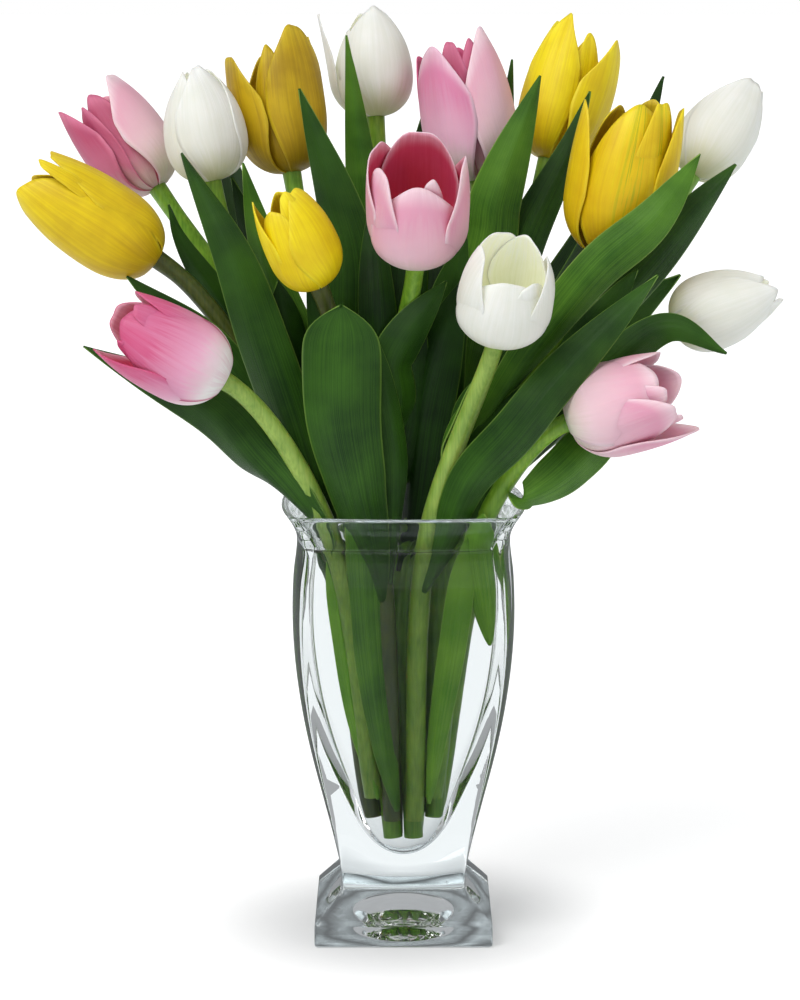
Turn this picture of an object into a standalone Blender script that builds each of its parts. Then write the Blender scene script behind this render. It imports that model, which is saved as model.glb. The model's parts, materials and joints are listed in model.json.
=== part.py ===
"""Fifteen tulips in a square, footed glass vase with water.

Metres, +Z up. The origin is the centre of the foot's underside, and -Y faces the viewer.
Lengths in the tables below are in millimetres.
"""

import math

import bmesh
import bpy
import numpy as np
from mathutils import Vector

MM = 0.001
GAP = 0.3  # clearance between neighbouring pieces

# Vase, as (height, half-width at mid-side, half-width at the corner)
SIDE_STEPS = 6  # mesh steps along each of the four sides
OUTER = [
    (0.0, 42.7, 42.7), (0.8, 43.5, 43.5), (11.5, 43.5, 43.5), (26.5, 30.5, 30.5),
    (29.0, 30.5, 29.5), (36.6, 32.3, 30.2), (53.6, 36.5, 33.0), (69.0, 40.4, 36.5),
    (91.0, 46.0, 41.5), (113.0, 50.4, 45.5), (140.0, 53.9, 48.6), (158.0, 54.7, 49.4),
    (178.0, 54.2, 49.0), (196.5, 52.3, 47.2), (206.0, 54.6, 49.2), (215.0, 60.0, 54.0),
]
CAVITY = [
    (215.0, 56.0, 50.2), (206.0, 49.8, 44.5), (196.5, 46.7, 41.8), (178.0, 48.6, 43.3),
    (158.0, 49.0, 43.5), (135.0, 46.5, 40.5), (115.0, 42.6, 36.5), (93.0, 35.5, 29.5),
    (78.0, 29.5, 24.0), (61.0, 23.2, 18.0), (50.5, 16.7, 12.3), (43.5, 7.7, 5.5),
    (41.5, 3.0, 2.1),
]
DIMPLE = [(0.0, 24.5, 17.3), (2.2, 20.0, 14.1), (3.6, 12.0, 8.5), (4.0, 4.0, 2.8)]
WATER_LEVEL = 198.0

# Stems
NECK_HEIGHT = 200.0
FOOT_RADIUS = 4.4
TOP_RADIUS = 3.8
STEM_SIDES = 8

# Flower: foot (x, y, z), neck (x, y), bloom base (x, y, z), bloom tip (x, y, z), widest radius, mouth
# The mouth is the radius at the petal tips as a share of the widest radius.
FLOWERS = {
    "pink_2": ((-14, -14, 73), (-34, -34), (-84, -62, 282), (-134, -80, 313), 21, 0.70),
    "yellow_3": ((-5, -15, 61), (-12, -35), (-40, -42, 324), (-59, -56, 370), 17, 0.50),
    "white_3": ((5, -15, 61), (11, -35), (44, -64, 305), (50, -94, 346), 23, 0.90),
    "pink_5": ((14, -14, 73), (34, -34), (78, -46, 260), (130, -60, 280), 22, 0.70),
    "yellow_1": ((-15, -5, 61), (-38, -11), (-118, -12, 334), (-180, -22, 374), 21, 0.50),
    "pink_3": ((-5, -5, 50), (-18, -12), (6, -42, 339), (7, -78, 388), 24, 0.85),
    "yellow_5": ((5, -5, 50), (3, -12), (98, -8, 335), (113, -16, 412), 24, 0.65),
    "white_5": ((15, -5, 61), (25, -11), (130, -6, 301), (181, -10, 321), 19, 0.40),
    "white_1": ((-15, 5, 61), (-30, 12), (-93, 8, 370), (-103, 12, 426), 20, 0.40),
    "yellow_2": ((-5, 5, 50), (-7, 11), (-55, 30, 373), (-64, 40, 443), 21, 0.80),
    "pink_4": ((5, 5, 50), (16, 11), (37, 36, 369), (25, 44, 441), 23, 0.65),
    "white_4": ((15, 5, 61), (39, 12), (143, 42, 371), (173, 56, 417), 19, 0.40),
    "pink_1": ((-10, 15, 66), (-21, 34), (-122, 40, 365), (-155, 52, 414), 21, 0.75),
    "white_2": ((0, 15, 61), (3, 35), (-14, 62, 399), (-17, 70, 454), 20, 0.40),
    "yellow_4": ((10, 15, 66), (26, 33), (72, 60, 378), (88, 74, 447), 21, 0.70),
}
PETAL_TIPS = 6
BLOOM_WALL = 1.4

# Leaf: owner, height where it clasps the stem, azimuth of that side, half-width, azimuth that the
# outer face looks to at the tip, where along it is widest, then the points that its midrib passes through
LEAF_THICKNESS = 1.1
LEAVES = {
    "pink_2_a": (208, 180, 13, 303, 0.42, [(-71, -47, 240), (-97, -45, 268), (-151, -46, 296)]),
    "yellow_1_a": (224, 199, 12, 271, 0.42, [(-80, -15, 271), (-102, -19, 300), (-132, -25, 327)]),
    "white_1_a": (213, 187, 11, 278, 0.42, [(-60, 4, 255), (-79, 2, 295), (-106, -5, 340), (-113, -8, 360)]),
    "yellow_1_b": (196, 235, 14, 280, 0.45, [(-49, -33, 236), (-67, -35, 293), (-82, -29, 338), (-106, -13, 385)]),
    "pink_1_a": (253, 223, 10, 273, 0.42, [(-52, -3, 290), (-64, -5, 323), (-77, -9, 380)]),
    "yellow_2_a": (235, 270, 15, 250, 0.40, [(-25, -6, 294), (-26, -8, 330), (-31, -6, 354), (-50, 4, 415)]),
    "white_2_a": (250, 270, 11, 265, 0.35, [(-13, 24, 311), (-18, 28, 352), (-28, 34, 440)]),
    "pink_3_a": (252, 266, 10, 271, 0.42, [(-12, -34, 303), (-14, -26, 337), (-15, -15, 366)]),
    "pink_3_b": (219, 284, 13, 302, 0.50, [(-3, -32, 266), (-3, -37, 290), (20, -36, 326)]),
    "pink_4_a": (241, 281, 15, 274, 0.45, [(32, 8, 298), (42, 4, 342), (46, 2, 366), (66, 8, 421)]),
    "yellow_4_a": (245, 272, 12, 283, 0.42, [(52, 18, 311), (62, 15, 346), (82, 21, 387), (91, 26, 413)]),
    "yellow_5_a": (245, 304, 12, 279, 0.55, [(62, -33, 292), (91, -43, 331), (118, -45, 356), (140, -29, 385)]),
    "white_4_a": (235, 296, 13, 290, 0.50, [(75, 12, 283), (105, 6, 313), (144, 10, 358), (162, 16, 378)]),
    "white_3_a": (176, 285, 12, 265, 0.50, [(20, -42, 200), (32, -56, 232), (52, -70, 258), (76, -68, 288), (119, -51, 330)]),
    "yellow_5_b": (235, 324, 13, 292, 0.45, [(63, -25, 262), (86, -28, 284), (107, -29, 318)]),
    "white_5_a": (214, 331, 11, 273, 0.55, [(74, -26, 254), (100, -33, 284), (126, -36, 304), (153, -41, 292)]),
    "pink_5_a": (225, 333, 13, 266, 0.55, [(59, -48, 224), (79, -43, 236), (106, -26, 262)]),
    "yellow_3_a": (172, 260, 20, 269, 0.68, [(-14, -43, 190), (-18, -47, 207), (-24, -56, 232), (-30, -62, 268), (-29, -60, 317)]),
    "yellow_3_b": (180, 316, 8, 274, 0.50, [(-4, -37, 205), (-3, -41, 240), (-9, -44, 275), (-16, -43, 306)]),
    "pink_4_b": (230, 232, 14, 270, 0.45, [(16, -4, 270), (18, -8, 301), (30, -10, 346)]),
    "yellow_5_c": (209, 241, 14, 271, 0.50, [(9, -21, 257), (18, -23, 296), (31, -18, 328)]),
    "white_5_b": (223, 223, 13, 315, 0.50, [(35, -3, 243), (51, -4, 272), (74, -1, 321)]),
    "white_3_b": (242, 25, 6, 306, 0.45, [(26, -31, 257), (37, -41, 278), (50, -53, 300)]),
    "yellow_1_c": (216, 326, 13, 283, 0.55, [(-40, -16, 242), (-50, -22, 277), (-60, -22, 325)]),
    "pink_1_b": (230, 100, 17, 90, 0.42, [(-62, 60, 290), (-84, 82, 345), (-92, 100, 392)]),
    "white_2_b": (225, 90, 17, 90, 0.42, [(4, 62, 290), (8, 86, 350), (12, 112, 404)]),
    "yellow_4_b": (225, 90, 17, 90, 0.42, [(62, 65, 280), (94, 84, 332), (112, 98, 376)]),
    "white_4_b": (220, 60, 16, 60, 0.42, [(76, 46, 262), (112, 72, 296), (142, 82, 318)]),
}

COLOURS = {
    "yellow": (0.80, 0.53, 0.02), "pink": (0.80, 0.17, 0.30), "white": (0.87, 0.86, 0.76),
    "stem": (0.36, 0.47, 0.13), "leaf": (0.06, 0.17, 0.05),
}


def material(name, colour, roughness, **inputs):
    made = bpy.data.materials.new(name)
    made.use_nodes = True
    shader = made.node_tree.nodes["Principled BSDF"]
    shader.inputs["Base Color"].default_value = (*colour, 1)
    shader.inputs["Roughness"].default_value = roughness
    shader.inputs["Metallic"].default_value = 0
    for key, value in inputs.items():
        shader.inputs[key].default_value = value
    return made


def add_object(name, bm, look, location=(0, 0, 0)):
    """An object from a bmesh in millimetres, under the arrangement's empty, smooth but for its edges."""
    bmesh.ops.scale(bm, vec=(MM, MM, MM), verts=bm.verts)
    mesh = bpy.data.meshes.new(name)
    bm.to_mesh(mesh)
    bm.free()
    mesh.shade_smooth()
    mesh.set_sharp_from_angle(angle=math.radians(35))
    mesh.materials.append(look)
    made = bpy.data.objects.new(name, mesh)
    made.location = Vector(location) * MM
    bpy.context.collection.objects.link(made)
    made.parent = arrangement
    return made


def square_ring(height, half, corner):
    """A square with bulging sides: (half, 0) at mid-side and (corner, corner) at each corner."""
    points = []
    for turn in ((1, 0, 0, 1), (0, -1, 1, 0), (-1, 0, 0, -1), (0, 1, -1, 0)):
        for step in range(SIDE_STEPS):
            t = 2 * step / SIDE_STEPS - 1
            x, y = half - (half - corner) * t * t, corner * t
            points.append((turn[0] * x + turn[1] * y, turn[2] * x + turn[3] * y, height))
    return points


def loft(rings):
    """A closed solid over rings of equal length, with both ends filled."""
    bm = bmesh.new()
    loops = [[bm.verts.new(point) for point in ring] for ring in rings]
    for low, high in zip(loops, loops[1:]):
        for i in range(len(low)):
            j = (i + 1) % len(low)
            bm.faces.new((low[i], low[j], high[j], high[i]))
    bm.faces.new(reversed(loops[0]))
    bm.faces.new(loops[-1])
    bmesh.ops.recalc_face_normals(bm, faces=bm.faces)
    return bm


def unit(vector):
    return vector / np.linalg.norm(vector)


def hermite(start, end, leave, arrive, t):
    return (
        (2 * t**3 - 3 * t**2 + 1) * start + (t**3 - 2 * t**2 + t) * leave
        + (3 * t**2 - 2 * t**3) * end + (t**3 - t**2) * arrive
    )


def bloom_axis(name):
    return unit(np.subtract(FLOWERS[name][3], FLOWERS[name][2]))


def stem_path(name):
    """Points up a stem: straight from the foot to the neck, then bending out to meet its bloom."""
    foot, neck, base = (np.array(p, float) for p in FLOWERS[name][:3])
    neck = np.array((*neck, NECK_HEIGHT))
    axis = bloom_axis(name)
    top = base - GAP * axis
    lower, upper = np.linalg.norm(neck - foot), np.linalg.norm(top - neck)
    lean = unit(unit(neck - foot) + 0.8 * unit(top - neck))
    points = [hermite(foot, neck, neck - foot, lean * lower, t) for t in np.linspace(0, 1, 6)]
    points += [hermite(neck, top, lean * upper, axis * 0.8 * upper, t) for t in np.linspace(0, 1, 7)[1:]]
    return np.array(points)


def stem_radius(height, name):
    low, high = FLOWERS[name][0][2], FLOWERS[name][2][2]
    return FOOT_RADIUS + (TOP_RADIUS - FOOT_RADIUS) * (height - low) / (high - low)


def tube(path, name, fatter=0.0):
    """Rings round a path; fatter grows the tube all round and at its foot."""
    path = path.copy()
    path[0] -= unit(path[1] - path[0]) * fatter
    rings = []
    side = np.array((1.0, 0, 0))
    for i, point in enumerate(path):
        along = unit(path[i + 1] - path[max(i - 1, 0)]) if i < len(path) - 1 else bloom_axis(name)
        side = unit(side - along * side.dot(along))
        across = np.cross(along, side)
        radius = stem_radius(point[2], name) + fatter
        angles = np.arange(STEM_SIDES) * 2 * math.pi / STEM_SIDES
        rings.append([point + radius * (math.cos(a) * side + math.sin(a) * across) for a in angles])
    return rings


def smooth_line(points, steps):
    """Catmull-Rom points through the given ones, evenly spaced by number."""
    p = np.array([2 * points[0] - points[1], *points, 2 * points[-1] - points[-2]])
    line = []
    for s in np.linspace(0, len(points) - 1, steps):
        i = min(int(s), len(points) - 2)
        t = s - i
        a, b, c, d = p[i:i + 4]
        line.append(0.5 * (2 * b + (c - a) * t + (2 * a - 5 * b + 4 * c - d) * t**2
                           + (3 * b - a - 3 * c + d) * t**3))
    return np.array(line)


LEAF_STEPS = 10


def leaf_outline(t, widest):
    """Share of the half-width at t: narrow where it clasps, widest part way up, pointed at the tip."""
    if t < widest:
        return 0.22 + 0.78 * math.sin(math.pi / 2 * t / widest)
    return math.cos(math.pi / 2 * ((t - widest) / (1 - widest)) ** (0.3 + 2.2 * widest))


def leaf_rows(name, extra=0.0):
    """Left edge, midrib and right edge of a leaf, row by row from where it clasps its stem."""
    height, clasp, half_width, face, widest, through = LEAVES[name]
    owner = name[:-2]
    path = stem_path(owner)
    centre = np.array([np.interp(height, path[:, 2], path[:, k]) for k in range(3)])
    out = np.array((math.cos(math.radians(clasp)), math.sin(math.radians(clasp)), 0))
    start = centre + out * (stem_radius(height, owner) + GAP + LEAF_THICKNESS / 2 + 0.55)
    spine = smooth_line([start, *(np.array(p, float) for p in through)], LEAF_STEPS)
    run = np.cumsum([0, *np.linalg.norm(np.diff(spine, axis=0), axis=1)])
    turn = (face - clasp + 180) % 360 - 180
    rows = []
    for i, point in enumerate(spine):
        t = run[i] / run[-1]
        along = unit(spine[min(i + 1, LEAF_STEPS - 1)] - spine[max(i - 1, 0)])
        angle = math.radians(clasp + turn * t)
        outward = np.array((math.cos(angle), math.sin(angle), 0.15))
        across = unit(np.cross(along, outward))
        outward = np.cross(across, along)
        width = max(half_width * leaf_outline(t, widest), 1.0)
        fold = 0.32 * width * math.sin(math.pi * t) * outward
        width += extra
        if i == 0:
            point = point - along * extra
        rows.append((point - across * width - fold, point, point + across * width - fold))
    return rows


def leaf_mesh(name, extra=0.0):
    bm = bmesh.new()
    rows = [[bm.verts.new(point) for point in row] for row in leaf_rows(name, extra)]
    for low, high in zip(rows, rows[1:]):
        for i in range(2):
            bm.faces.new((low[i], low[i + 1], high[i + 1], high[i]))
    return bm


def solidify(obj, thickness, offset):
    """The wall of a leaf or a bloom, grown from its sheet."""
    wall = obj.modifiers.new("Wall", "SOLIDIFY")
    wall.thickness = thickness * MM
    wall.offset = offset


# Start from an empty scene with one empty that carries the arrangement
for old in list(bpy.data.objects):
    bpy.data.objects.remove(old, do_unlink=True)
arrangement = bpy.data.objects.new("tulips_in_vase", None)
bpy.context.collection.objects.link(arrangement)

# Vase: one thick pressed-glass body, from the dimple under its foot, up the outside and down the cavity
glass = material("clear_glass", (0.86, 0.90, 0.92), 0.03, **{"Transmission Weight": 1.0, "IOR": 1.5})
vase = add_object("vase", loft([square_ring(*row) for row in DIMPLE[::-1] + OUTER + CAVITY]), glass)

# Water: fills the cavity to its level, with a channel for everything that stands in it
water_look = material("water", (0.92, 0.96, 0.95), 0.0, **{"Transmission Weight": 1.0, "IOR": 1.33})
inner = [(z + (GAP if half < 8 else 0), half - GAP, corner - GAP) for z, half, corner in CAVITY]
surface = [row for row in inner if row[0] < WATER_LEVEL]
surface.insert(0, (WATER_LEVEL, inner[2][1], inner[2][2]))
water = add_object("water", loft([square_ring(*row) for row in surface[::-1]]), water_look)

# Stems and the blooms that they carry
stem_look = material("stem_green", COLOURS["stem"], 0.45)
petal_looks = {c: material("petal_" + c, COLOURS[c], 0.55) for c in ("yellow", "pink", "white")}
CUP = [(0.0, 0.28), (0.09, 0.66), (0.28, 0.94), (0.50, 1.0)]  # share of the length, share of the radius
for name, (foot, neck, base, tip, radius, mouth) in FLOWERS.items():
    path = stem_path(name)
    rings = [[point - path[0] for point in ring] for ring in tube(path, name)]
    add_object("stem_" + name, loft(rings), stem_look, path[0])

    length = math.dist(base, tip)
    bm = bmesh.new()
    loops = []
    for share, wide in CUP + [(0.74, 0.55 + 0.43 * mouth), (1.0, mouth)]:
        loop = []
        for k in range(2 * PETAL_TIPS):
            angle = k * math.pi / PETAL_TIPS
            notch = 0.12 if share == 1 and k % 2 else 0
            r = radius * wide
            loop.append(bm.verts.new((r * math.cos(angle), r * math.sin(angle), length * (share - notch))))
        loops.append(loop)
    for low, high in zip(loops, loops[1:]):
        for i in range(len(low)):
            j = (i + 1) % len(low)
            bm.faces.new((low[i], low[j], high[j], high[i]))
    bm.faces.new(reversed(loops[0]))
    bmesh.ops.recalc_face_normals(bm, faces=bm.faces)
    bloom = add_object("bloom_" + name, bm, petal_looks[name.split("_")[0]], base)
    bloom.rotation_euler = (Vector(tip) - Vector(base)).to_track_quat("Z", "Y").to_euler()
    solidify(bloom, BLOOM_WALL, -1)

# Leaves, each clasping its own stem
leaf_look = material("leaf_green", COLOURS["leaf"], 0.5)
for name in LEAVES:
    leaf = add_object("leaf_" + name, leaf_mesh(name), leaf_look)
    solidify(leaf, LEAF_THICKNESS, 0)

# Channels through the water: each stem and each leaf that dips in, a little larger all round
cutters = bpy.data.collections.new("water_channels")
bpy.context.scene.collection.children.link(cutters)
channels = [add_object("channel_" + name, loft(tube(stem_path(name), name, GAP)), water_look)
            for name in FLOWERS]
for name in (n for n in LEAVES if LEAVES[n][0] < WATER_LEVEL + 2):
    channel = add_object("channel_leaf_" + name, leaf_mesh(name, 4 * GAP), water_look)
    solidify(channel, LEAF_THICKNESS + 5 * GAP, 0)
    channels.append(channel)
for channel in channels:
    bpy.context.collection.objects.unlink(channel)
    cutters.objects.link(channel)
    channel.hide_render = True
    channel.display_type = "WIRE"
cut = water.modifiers.new("Channels", "BOOLEAN")
cut.operation = "DIFFERENCE"
cut.solver = "EXACT"
cut.operand_type = "COLLECTION"
cut.collection = cutters
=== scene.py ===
import json
import math
import random

import bmesh
import bpy
import numpy as np
from mathutils import Matrix, Vector

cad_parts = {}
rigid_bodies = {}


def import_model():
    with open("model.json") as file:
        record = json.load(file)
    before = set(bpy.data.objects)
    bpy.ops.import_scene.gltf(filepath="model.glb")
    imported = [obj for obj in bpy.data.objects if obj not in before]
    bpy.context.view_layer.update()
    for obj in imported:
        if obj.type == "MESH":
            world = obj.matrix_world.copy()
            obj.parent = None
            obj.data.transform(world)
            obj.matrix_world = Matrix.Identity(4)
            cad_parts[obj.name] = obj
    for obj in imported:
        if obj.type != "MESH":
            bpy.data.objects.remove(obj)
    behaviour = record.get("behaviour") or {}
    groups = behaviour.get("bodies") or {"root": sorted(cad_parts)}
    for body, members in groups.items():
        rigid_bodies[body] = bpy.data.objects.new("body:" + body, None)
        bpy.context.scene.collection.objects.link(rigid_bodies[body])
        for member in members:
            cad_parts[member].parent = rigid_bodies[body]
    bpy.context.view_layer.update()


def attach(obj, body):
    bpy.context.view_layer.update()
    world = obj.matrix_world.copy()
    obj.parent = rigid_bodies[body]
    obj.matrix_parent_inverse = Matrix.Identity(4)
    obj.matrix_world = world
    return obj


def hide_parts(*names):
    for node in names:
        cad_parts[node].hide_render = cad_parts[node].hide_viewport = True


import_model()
MM = 0.001
bpy.ops.object.select_all(action="DESELECT")

# ---------------------------------------------------------------------------------------------
# Camera. A long lens a little above the rim looks down at the bouquet from the front, so that
# the verticals of the vase stay straight and the foot shows its top and front faces.
# ---------------------------------------------------------------------------------------------
bpy.ops.object.camera_add(location=(-0.00172, -1.44, 0.455), rotation=(math.radians(90 - 9.47), 0, 0))
camera = bpy.context.object
camera.name = "camera_front"
camera.data.sensor_fit = "VERTICAL"
camera.data.sensor_height = 36
camera.data.lens = 107.0
bpy.context.scene.camera = camera
bpy.context.scene.view_settings.view_transform = "Standard"
# light turns many times inside thick glass before it comes out
bpy.context.scene.cycles.max_bounces = 28
bpy.context.scene.cycles.glossy_bounces = 20
bpy.context.scene.cycles.transmission_bounces = 24

# ---------------------------------------------------------------------------------------------
# Studio. A very wide matt white floor, a soft sky and two broad lamps: a key from the upper left
# in front and a weaker fill from the right. The floor glows with painted light: darker where it
# shows through the glass than where it is seen directly, with a painted shadow round the foot,
# painted rings of light under the foot in place of those thick glass throws, and painted dim grey
# where it is mirrored in the glass.
# ---------------------------------------------------------------------------------------------
def new_skin(name):
    """A new material, with its node tree, the call that links its nodes, and its shader."""
    made = bpy.data.materials.new(name)
    made.use_nodes = True
    tree = made.node_tree
    return made, tree, tree.links.new, tree.nodes["Principled BSDF"]


def node(tree, kind, inputs=None, **properties):
    """A new node with its own properties and the values of its unlinked inputs."""
    made = tree.nodes.new("ShaderNode" + kind)
    for name, value in properties.items():
        setattr(made, name, value)
    for socket, value in (inputs or {}).items():
        made.inputs[socket].default_value = value
    return made


def ramp(tree, *stops):
    """A colour ramp through the given positions and colours."""
    made = node(tree, "ValToRGB")
    colours = made.color_ramp.elements
    colours[0].position, colours[0].color = stops[0]
    colours[-1].position, colours[-1].color = stops[-1]
    for at, colour in stops[1:-1]:
        colours.new(at).color = colour
    return made


bpy.ops.mesh.primitive_circle_add(vertices=64, radius=120, fill_type="NGON", location=(0, 0, 0))
floor = bpy.context.object
floor.name = "studio_floor"
paper, tree, link, shader = new_skin("studio_paper_painted_glow")
shader.inputs["Base Color"].default_value = (0.6, 0.6, 0.6, 1)
shader.inputs["Roughness"].default_value = 0.9
shader.inputs["Specular IOR Level"].default_value = 0.1
shader.inputs["Emission Strength"].default_value = 1.0
place = node(tree, "TexCoord")
away = node(tree, "VectorMath", operation="LENGTH")
link(place.outputs["Object"], away.inputs[0])
# seen directly: a painted soft shadow round the foot, and white beyond it
painted_shadow_glow = ramp(tree, (0.03, (0.20, 0.20, 0.20, 1)), (0.13, (0.66, 0.66, 0.66, 1)))
painted_shadow_glow.color_ramp.interpolation = "EASE"
link(away.outputs["Value"], painted_shadow_glow.inputs[0])
# seen through glass: painted rings of light, swirled, that fade outwards, by metres from the middle, in
# place of the light that thick glass throws
PAINTED_LIGHT_RINGS = ((0.014, 0.04), (0.022, 0.75), (0.030, 0.03), (0.040, 0.55), (0.047, 0.04), (0.055, 0.70),
         (0.062, 0.05), (0.072, 0.50), (0.082, 0.10), (0.10, 0.24), (0.16, 0.28))
painted_rings = ramp(tree, (0.0, (0.30, 0.33, 0.34, 1)),
            *((at, (level * 0.88, level, level * 1.04, 1)) for at, level in PAINTED_LIGHT_RINGS),
            (0.6, (0.44, 0.47, 0.475, 1)))
swirl = node(tree, "TexNoise", {"Scale": 34, "Detail": 1})
ring = node(tree, "Math", {1: 0.02}, operation="MULTIPLY_ADD")
link(place.outputs["Object"], swirl.inputs["Vector"])
link(swirl.outputs[0], ring.inputs[0])
link(away.outputs["Value"], ring.inputs[2])
link(ring.outputs[0], painted_rings.inputs[0])
ray = node(tree, "LightPath")
glow = node(tree, "Mix", data_type="RGBA")
link(ray.outputs["Is Camera Ray"], glow.inputs["Factor"])
link(painted_rings.outputs[0], glow.inputs["A"])
link(painted_shadow_glow.outputs[0], glow.inputs["B"])
link(glow.outputs["Result"], shader.inputs["Emission Color"])
# mirrored in glass: a painted dim grey in place of the floor, so that the glass stays clear
mirrored = node(tree, "Math", operation="MULTIPLY")
painted_dim_reflection = node(tree, "Emission", {"Color": (0.16, 0.17, 0.175, 1)})
either = node(tree, "MixShader")
link(ray.outputs["Is Reflection Ray"], mirrored.inputs[0])
link(ray.outputs["Is Singular Ray"], mirrored.inputs[1])
link(mirrored.outputs[0], either.inputs[0])
link(shader.outputs[0], either.inputs[1])
link(painted_dim_reflection.outputs[0], either.inputs[2])
link(either.outputs[0], tree.nodes["Material Output"].inputs[0])
floor.data.materials.append(paper)

for lamp, energy, size, turn in (("key", 1.9, 40, (44, 0, -36)), ("fill", 0.35, 80, (60, 0, 55))):
    bpy.ops.object.light_add(type="SUN", location=(0, 0, 2), rotation=[math.radians(a) for a in turn])
    sun = bpy.context.object
    sun.name = "lamp_" + lamp
    sun.data.energy = energy
    sun.data.angle = math.radians(size)

# the sky is white where it is seen, and lights the object as grey, a little darker at both sides
sky = bpy.data.worlds.new("studio_sky")
bpy.context.scene.world = sky
sky.use_nodes = True
tree, link = sky.node_tree, sky.node_tree.links.new
tree.nodes.clear()
direction = node(tree, "TexCoord")
split = node(tree, "SeparateXYZ")
sideways = node(tree, "Math", operation="ABSOLUTE")
sides = ramp(tree, (0.62, (0.42, 0.43, 0.44, 1)), (0.95, (0.38, 0.39, 0.40, 1)))
lit = node(tree, "Background", {"Strength": 1.0})
seen = node(tree, "Background", {"Color": (1, 1, 1, 1), "Strength": 1.0})
path = node(tree, "LightPath")
either = node(tree, "MixShader")
out = node(tree, "OutputWorld")
link(direction.outputs["Generated"], split.inputs[0])
link(split.outputs["X"], sideways.inputs[0])
link(sideways.outputs[0], sides.inputs[0])
link(sides.outputs[0], lit.inputs["Color"])
link(path.outputs["Is Camera Ray"], either.inputs[0])
link(lit.outputs[0], either.inputs[1])
link(seen.outputs[0], either.inputs[2])
link(either.outputs[0], out.inputs[0])

# ---------------------------------------------------------------------------------------------
# Vase. One piece of thick clear pressed glass: square in plan with bulging sides and crisp
# upright corners, a flared rim, a narrow neck, a waist, and a pyramid foot on a square slab that
# has a round dimple beneath. Rows give height, half-width at mid-side and half-width at corner.
# ---------------------------------------------------------------------------------------------
DIMPLE = [(4.0, 1.0, 0.7), (3.95, 4.0, 2.8), (3.7, 9.0, 6.36), (3.1, 14.0, 9.9), (2.1, 19.0, 13.4),
          (1.0, 22.6, 16.0), (0.25, 24.2, 17.1), (0.0, 25.2, 17.9), (0.0, 33.0, 29.0)]
FOOT = [(0.0, 41.6, 41.6), (0.15, 42.6, 42.6), (0.6, 43.25, 43.25), (1.3, 43.5, 43.5),
        (5.5, 43.5, 43.5), (10.4, 43.5, 43.5), (11.1, 43.35, 43.35), (11.7, 42.9, 42.9),
        (14.5, 40.5, 40.5), (20.0, 35.7, 35.7), (25.0, 31.4, 31.4), (25.9, 30.8, 30.8),
        (26.8, 30.5, 30.4)]
BODY = [(28.0, 30.4, 29.9), (32.0, 31.1, 29.9), (36.6, 32.3, 30.4), (45.0, 34.4, 31.6),
        (53.6, 36.5, 33.2), (69.0, 40.4, 36.6), (91.0, 46.0, 41.4), (113.0, 50.4, 45.4),
        (136.0, 53.5, 48.2), (158.0, 54.7, 49.4), (178.0, 54.2, 49.0), (190.0, 52.8, 47.7),
        (196.5, 52.3, 47.2), (202.0, 53.0, 47.8), (208.0, 55.6, 50.1), (213.0, 58.9, 53.0)]
RIM = [(214.2, 59.7, 53.7), (214.8, 59.7, 53.7), (215.0, 59.2, 53.2), (215.0, 57.6, 51.7),
       (214.8, 56.9, 51.1), (214.2, 56.3, 50.5)]
CAVITY = [(211.0, 53.6, 48.0), (206.0, 50.2, 44.9), (200.0, 47.3, 42.3), (196.5, 46.7, 41.8),
          (190.0, 47.2, 42.2), (178.0, 48.6, 43.3), (158.0, 49.0, 43.4), (136.0, 46.8, 40.9),
          (115.0, 42.6, 36.5), (93.0, 35.5, 29.5), (78.0, 29.5, 24.0), (61.0, 22.4, 17.6),
          (50.5, 16.0, 12.2), (45.0, 10.6, 7.8), (42.6, 6.4, 4.6), (41.6, 3.2, 2.3), (41.3, 1.0, 0.7)]


def through(rows, between):
    """Rows on one smooth curve through the given ones, with so many steps between each two."""
    p = np.array([rows[0], *rows, rows[-1]], float)
    p[0], p[-1] = 2 * p[1] - p[2], 2 * p[-2] - p[-3]
    line = []
    for a, b, c, d in zip(p, p[1:], p[2:], p[3:]):
        for t in np.arange(between) / between:
            line.append(0.5 * (2 * b + (c - a) * t + (2 * a - 5 * b + 4 * c - d) * t**2
                               + (3 * b - a - 3 * c + d) * t**3))
    return line + [p[-2]]


# places of the points along one side, from its middle at 0 to its corners at -1 and 1, and how far
# a corner point is drawn in to round the corner
SIDE_STEPS = (-0.972, -0.93, -0.8, -0.65, -0.5, -0.35, -0.2, -0.07, 0.07, 0.2, 0.35, 0.5, 0.65, 0.8,
              0.93, 0.972, 1)
CORNER_DRAWN_IN = 0.991


def square_ring(height, half, corner):
    """A square with bulging sides and a small round on each corner, as points in order."""
    points = []
    for turn in range(4):
        c, s = (1, 0, -1, 0)[turn], (0, 1, 0, -1)[turn]
        for t in SIDE_STEPS:
            x, y = half - (half - corner) * t * t, corner * t
            if t == 1:
                x, y = x * CORNER_DRAWN_IN, y * CORNER_DRAWN_IN
            points.append(Vector(((c * x - s * y) * MM, (s * x + c * y) * MM, height * MM)))
    return points


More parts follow.
